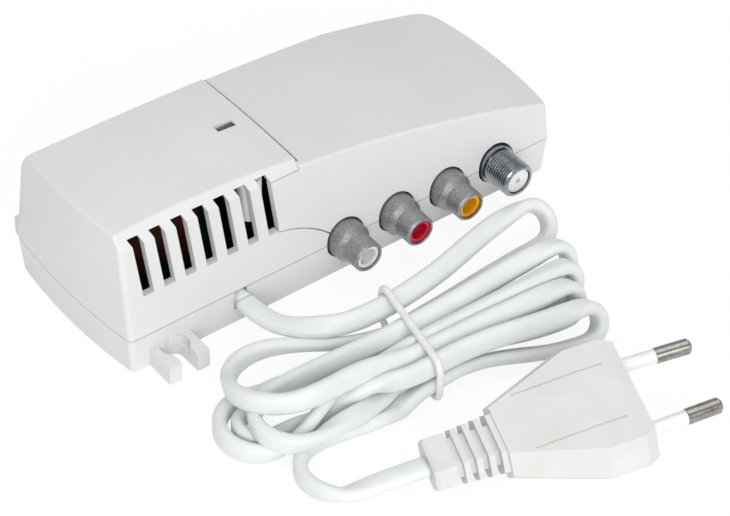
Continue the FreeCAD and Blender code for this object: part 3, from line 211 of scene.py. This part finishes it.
for entry in frame["record"]["subparts"]:
    node = frame["nodes"][entry["node"]]
    node.data.materials.clear()
    node.data.materials.append(FINISHES[entry["material_slot"]])


# Flat cord, in millimetres. Each pass of the hank: y of its upper and lower strand at the tie,
# its right fold and its left loop (tip x, then y and z of the arm it comes by and the arm it leaves by)
WAIST_LOW, WAIST_HIGH, WAIST_LEFT, WAIST_RIGHT = 4.3, 9.4, -11.5, -4.0
PASSES = (
    (-51.3, -55.0, (47.6, -43.5, 10.5, -51.0, 3.0), (-54.9, -42.5, 6.5, -68.5, 12.5)),
    (-69.8, -68.8, (34.2, -72.8, 11.0, -76.0, 2.3), (-56.0, -75.0, 5.5, -57.0, 7.5)),
    (-60.5, -59.6, (41.8, -60.5, 11.6, -64.0, 2.3), (-61.7, -50.5, 2.5, -70.5, 4.0)),
    (-65.2, -64.2, (38.3, -67.5, 11.6, -70.0, 2.3), (-58.0, -55.5, 2.3, -66.5, 2.5)),
    (-74.4, -75.0, (33.8, -81.0, 10.5, -85.0, 2.3), None))
STRAND_CLEARANCE, FLOOR_CLEARANCE, CONTROL_STEP = 4.3, 1.8, 2.4
LEAD = [(-33.1, -28.0, 7.45), (-33.1, -37.6, 7.45), (-28.3, -45.9, 9.2), (-20.0, -50.7, 9.4)]
TAIL = [(-42.8, -73.2, 2.0), (-48.4, -73.2, 1.8), (-53.0, -76.4, 1.8), (-55.0, -81.7, 1.8), (-53.6, -87.1, 1.8),
        (-49.3, -90.7, 2.3)]
PLUG_HEADING, PLUG_RISE = math.radians(-18.1), math.radians(6.5)
PLUG_FACE = Vector((17.4, -112.4, 11.17))
PLUG_AXIS = Vector((math.cos(PLUG_HEADING) * math.cos(PLUG_RISE), math.sin(PLUG_HEADING) * math.cos(PLUG_RISE),
                    math.sin(PLUG_RISE)))
# The plug's body and its strain relief, and the cord's last straight stretch before them
PLUG_DEPTH, PLUG_LEAD_IN = 51.0, 8.8
PLUG_ENTRY = PLUG_FACE - PLUG_AXIS * PLUG_DEPTH
CORD_WIDTH, CORD_THICKNESS = 5.6, 3.4

# How the route is drawn: shares of a run, and control points a little outside the arc they round off
RUN_SHARES, TAIL_SHARES = (0.3, 0.5, 0.75), (0.35, 0.7)
FOLD_STEPS, FOLD_BULGE = 6, 1.03
LINE_RESOLUTION, TUBE_SIDES = 5, 20

# How strands settle: points that close along the cord never push, and the ends stay where they are
SETTLE_ROUNDS, NEIGHBOURS, PUSH_SMOOTHINGS, HELD_ENDS = 140, 5, 14, 12

# How the width lies: the pull to level, how far a bend pulls, and the level points at each end
LEVEL_PULL, BEND_REACH, LEVEL_ENDS = 0.02, 8.0, 50
BEND_SPAN, START_PULL, RELAX_PULL, RELAX_ROUNDS = 4, 0.15, 0.1, 160


def between(start, end, share):
    """A point part of the way along a run whose sideways move eases in and out."""
    eased = share * share * (3 - 2 * share)
    x = start[0] + (end[0] - start[0]) * share
    return (x, start[1] + (end[1] - start[1]) * eased, start[2] + (end[2] - start[2]) * eased)


def half_turn(start, end, side):
    """Points round the half turn from start to end that bulges along X; both have the same x."""
    middle = [(first + last) / 2 for first, last in zip(start, end)]
    radius = math.dist(start, end) / 2
    points = [start]
    for step in range(1, FOLD_STEPS):
        angle = math.pi * step / FOLD_STEPS
        points.append((start[0] + side * FOLD_BULGE * radius * math.sin(angle),
                       *[centre + FOLD_BULGE * (first - centre) * math.cos(angle)
                         for centre, first in zip(middle[1:], start[1:])]))
    return points + [end]


def eased_run(start, end):
    """The points between the ends of a run."""
    return [between(start, end, share) for share in RUN_SHARES]


def folded(side, tip_x, first_y, first_z, last_y, last_z):
    """The half turn of a fold or loop whose tip is at tip_x."""
    turn_x = tip_x - side * math.hypot(last_y - first_y, last_z - first_z) / 2
    return half_turn((turn_x, first_y, first_z), (turn_x, last_y, last_z), side)


def hank_points():
    """The hank's route, pass by pass, from the lead to the tail."""
    points = []
    for index, (upper, lower, right_fold, left_loop) in enumerate(PASSES):
        start = (WAIST_RIGHT, upper, WAIST_HIGH)
        turn = folded(1, *right_fold)
        end = (WAIST_RIGHT, lower, WAIST_LOW)
        points += [(WAIST_LEFT, upper, WAIST_HIGH), start, *eased_run(start, turn[0]), *turn,
                   *eased_run(turn[-1], end), end]
        start = (WAIST_LEFT, lower, WAIST_LOW)
        points.append(start)
        if left_loop:
            turn = folded(-1, *left_loop)
            end = (WAIST_LEFT, PASSES[index + 1][0], WAIST_HIGH)
            points += [*eased_run(start, turn[0]), *turn, *eased_run(turn[-1], end)]
        else:
            points += [between(start, TAIL[0], share) for share in TAIL_SHARES]
    return points


def even_points(line, step):
    """Points along a line of metres at about an even step of millimetres."""
    points = numpy.array([tuple(point) for point in line]) / MM
    along = numpy.concatenate([[0], numpy.cumsum(numpy.linalg.norm(numpy.diff(points, axis=0), axis=1))])
    wanted = numpy.linspace(0, along[-1], int(along[-1] / step))
    return numpy.stack([numpy.interp(wanted, along, points[:, axis]) for axis in range(3)], axis=1)


def settled(points):
    """Strands that would run through each other push apart gently and rest on the floor."""
    count = len(points)
    order = numpy.arange(count)
    apart_enough = numpy.abs(order[:, None] - order[None]) > NEIGHBOURS
    freed = numpy.clip(numpy.minimum(order, count - 1 - order) / HELD_ENDS - 0.5, 0, 1)[:, None]
    for _ in range(SETTLE_ROUNDS):
        gap = points[:, None] - points[None]
        away = numpy.linalg.norm(gap, axis=2) + 1e-6
        share = numpy.where(apart_enough & (away < STRAND_CLEARANCE), (STRAND_CLEARANCE - away) / away / 2, 0)
        push = (gap * share[:, :, None]).sum(axis=1)
        for _ in range(PUSH_SMOOTHINGS):
            push[1:-1] = (push[:-2] + 2 * push[1:-1] + push[2:]) / 4
        points = points + push * freed
        points[:, 2] = numpy.maximum(points[:, 2], FLOOR_CLEARANCE)
    return points


def smooth_line(name, points):
    """The smooth line that the control points give, as a list of points."""
    curve = bpy.data.curves.new(name, "CURVE")
    curve.dimensions = "3D"
    spline = curve.splines.new("NURBS")
    spline.points.add(len(points) - 1)
    for target, point in zip(spline.points, points):
        target.co = (*(float(value) * MM for value in point), 1)
    spline.order_u = 3
    spline.use_endpoint_u = True
    spline.resolution_u = LINE_RESOLUTION
    holder = bpy.data.objects.new(name, curve)
    bpy.context.collection.objects.link(holder)
    bpy.context.view_layer.update()
    evaluated = holder.evaluated_get(bpy.context.evaluated_depsgraph_get())
    mesh = bpy.data.meshes.new_from_object(evaluated)
    line = [vertex.co.copy() for vertex in mesh.vertices]
    bpy.data.meshes.remove(mesh)
    bpy.data.objects.remove(holder)
    return line


def section_frames(line):
    """For each point its direction and the way its width lies: across the bend in a bend, else level."""
    last = len(line) - 1
    up = Vector((0, 0, 1))
    tangents = [(line[min(at + 1, last)] - line[max(at - 1, 0)]).normalized() for at in range(last + 1)]
    wide, pulls = [Vector((1, 0, 0))], []
    for index, tangent in enumerate(tangents):
        before, after = max(index - BEND_SPAN, 0), min(index + BEND_SPAN, last)
        bend = tangents[before].cross(tangents[after]) / (line[after] - line[before]).length * BEND_REACH * MM
        level = tangent.cross(up)
        held = max(0.0, 1 - min(index, last - index) / LEVEL_ENDS)
        pulls.append((bend * min(1.0, bend.length) * (1 - min(1.0, 2 * held)), level * (LEVEL_PULL + held)))
        across = wide[-1].copy()
        for pull in pulls[-1]:
            across += START_PULL * (pull if pull.dot(across) >= 0 else -pull)
        across -= tangent * across.dot(tangent)
        wide.append(across.normalized())
    wide.pop(0)
    for _ in range(RELAX_ROUNDS):
        for index, tangent in enumerate(tangents):
            turned = wide[max(index - 1, 0)] + wide[min(index + 1, last)]
            for pull in pulls[index]:
                turned += RELAX_PULL * (pull if pull.dot(wide[index]) >= 0 else -pull)
            turned -= tangent * turned.dot(tangent)
            wide[index] = turned.normalized()
    return tangents, wide


def flat_tube(name, line, width, thickness):
    """A closed tube of rounded flat section along a line, in metres."""
    tangents, wide = section_frames(line)
    half_flat = (width - thickness) / 2
    vertices, faces = [], []
    for point, tangent, across in zip(line, tangents, wide):
        up = across.cross(tangent)
        reach_down = abs(across.z) * half_flat + thickness / 2
        point = Vector((point.x, point.y, max(point.z, reach_down)))
        for side in range(TUBE_SIDES):
            angle = 2 * math.pi * (side + 0.5) / TUBE_SIDES
            shift = half_flat if math.cos(angle) > 0 else -half_flat
            vertices.append(point + across * (shift + math.cos(angle) * thickness / 2)
                            + up * (math.sin(angle) * thickness / 2))
    for ring in range(len(line) - 1):
        for side in range(TUBE_SIDES):
            following = (side + 1) % TUBE_SIDES
            here, there = ring * TUBE_SIDES, (ring + 1) * TUBE_SIDES
            faces.append((here + side, here + following, there + following, there + side))
    faces.append(tuple(reversed(range(TUBE_SIDES))))
    faces.append(tuple(range((len(line) - 1) * TUBE_SIDES, len(line) * TUBE_SIDES)))
    mesh = bpy.data.meshes.new(name)
    mesh.from_pydata(vertices, [], faces)
    mesh.validate()
    for polygon in mesh.polygons:
        polygon.use_smooth = len(polygon.vertices) == 4
    made = bpy.data.objects.new(name, mesh)
    bpy.context.collection.objects.link(made)
    return made


route = LEAD + hank_points() + TAIL + [tuple(PLUG_ENTRY - PLUG_AXIS * PLUG_LEAD_IN), tuple(PLUG_ENTRY)]
cord_line = smooth_line("cord_sketch", route)
cord_line = smooth_line("cord_route", settled(even_points(cord_line, CONTROL_STEP)))
cord = flat_tube("mains_cord", cord_line, CORD_WIDTH * MM, CORD_THICKNESS * MM)
cord.data.materials.append(FINISHES["cord_pvc"])
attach(cord, HOUSING)
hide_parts("cord_lead", "cord_hank", "cord_tail")
length = sum((after - before).length for before, after in zip(cord_line, cord_line[1:]))
print("cord length %.3f" % length)


# Floor, background, lights and camera
FLOOR_SIZE, FLOOR_GLOW, FLOOR_GLOW_SHARE, ROOM_LIGHT, WHITE = 6.0, 1.03, 0.86, 0.55, "#FFFFFF"


def floor_paper():
    """Matt paper that catches shadows and is white to the camera."""
    made, tree, shader = material("paper_backdrop_matt_white", Roughness=0.9)
    tint(tree, shader, spread(tree, noise(tree, 60), 0, 1), "#F4F4F4", "#F8F8F8")
    output = tree.nodes["Material Output"]
    rays = add(tree, "ShaderNodeLightPath")
    seen = add(tree, "ShaderNodeMath", {0: rays.outputs["Is Camera Ray"], 1: rays.outputs["Is Glossy Ray"]},
               operation="MAXIMUM")
    seen = add(tree, "ShaderNodeMath", {0: seen.outputs[0], 1: rays.outputs["Is Transmission Ray"]},
               operation="MAXIMUM")
    share = add(tree, "ShaderNodeMath", {0: seen.outputs[0], 1: FLOOR_GLOW_SHARE}, operation="MULTIPLY")
    glow = add(tree, "ShaderNodeEmission", {"Color": linear(WHITE), "Strength": FLOOR_GLOW})
    mixed = add(tree, "ShaderNodeMixShader", {0: share.outputs[0], 1: shader.outputs["BSDF"],
                                              2: glow.outputs["Emission"]})
    tree.links.new(mixed.outputs[0], output.inputs["Surface"])
    return made


bpy.ops.mesh.primitive_plane_add(size=FLOOR_SIZE)
floor = bpy.context.object
floor.name = "floor"
floor.data.materials.append(floor_paper())

world = bpy.data.worlds.new("studio")
bpy.context.scene.world = world
world.use_nodes = True
tree = world.node_tree
tree.nodes.clear()
rays = add(tree, "ShaderNodeLightPath")
seen = add(tree, "ShaderNodeMath", {0: rays.outputs["Is Camera Ray"], 1: rays.outputs["Is Transmission Ray"]},
           operation="MAXIMUM")
room = add(tree, "ShaderNodeBackground", {"Color": linear(WHITE), "Strength": ROOM_LIGHT})
white = add(tree, "ShaderNodeBackground", {"Color": linear(WHITE), "Strength": 1.0})
mixed = add(tree, "ShaderNodeMixShader", {0: seen.outputs[0], 1: room.outputs[0], 2: white.outputs[0]})
add(tree, "ShaderNodeOutputWorld", {"Surface": mixed.outputs[0]})


def softbox(name, place, target, side, watts):
    """A square area lamp turned to its target."""
    lamp = bpy.data.lights.new(name, "AREA")
    lamp.shape = "RECTANGLE"
    lamp.size, lamp.size_y, lamp.energy = side, side, watts
    holder = bpy.data.objects.new(name, lamp)
    bpy.context.collection.objects.link(holder)
    holder.location = place
    holder.rotation_euler = (Vector(target) - Vector(place)).to_track_quat("-Z", "Y").to_euler()


middle = (0, -0.03, 0.02)
softbox("key", (-0.45, -1.0, 0.55), middle, 0.8, 8.5)
softbox("top", (0.1, 0.1, 1.1), middle, 0.9, 3.0)

CAMERA_HEADING, CAMERA_ELEVATION, CAMERA_ROLL = map(math.radians, (38.45, 41.59, 1.22))
EYE = Vector((-0.3104, -0.4240, 0.4509))
FOCAL_PIXELS, FRAME_PIXELS, SENSOR = 2684.28, 730, 36.0
back = Vector((-math.sin(CAMERA_HEADING) * math.cos(CAMERA_ELEVATION),
               -math.cos(CAMERA_HEADING) * math.cos(CAMERA_ELEVATION), math.sin(CAMERA_ELEVATION)))
level = Vector((math.cos(CAMERA_HEADING), -math.sin(CAMERA_HEADING), 0))
upward = back.cross(level)
right = level * math.cos(CAMERA_ROLL) + upward * math.sin(CAMERA_ROLL)
up = upward * math.cos(CAMERA_ROLL) - level * math.sin(CAMERA_ROLL)
camera_data = bpy.data.cameras.new("camera")
camera_data.sensor_width = SENSOR
camera_data.lens = FOCAL_PIXELS / FRAME_PIXELS * SENSOR
camera_data.clip_start = 0.01
camera = bpy.data.objects.new("camera", camera_data)
bpy.context.collection.objects.link(camera)
camera.matrix_world = Matrix(((right.x, up.x, back.x, EYE.x), (right.y, up.y, back.y, EYE.y),
                              (right.z, up.z, back.z, EYE.z), (0, 0, 0, 1)))
bpy.context.scene.camera = camera
bpy.context.scene.view_settings.view_transform = "Standard"
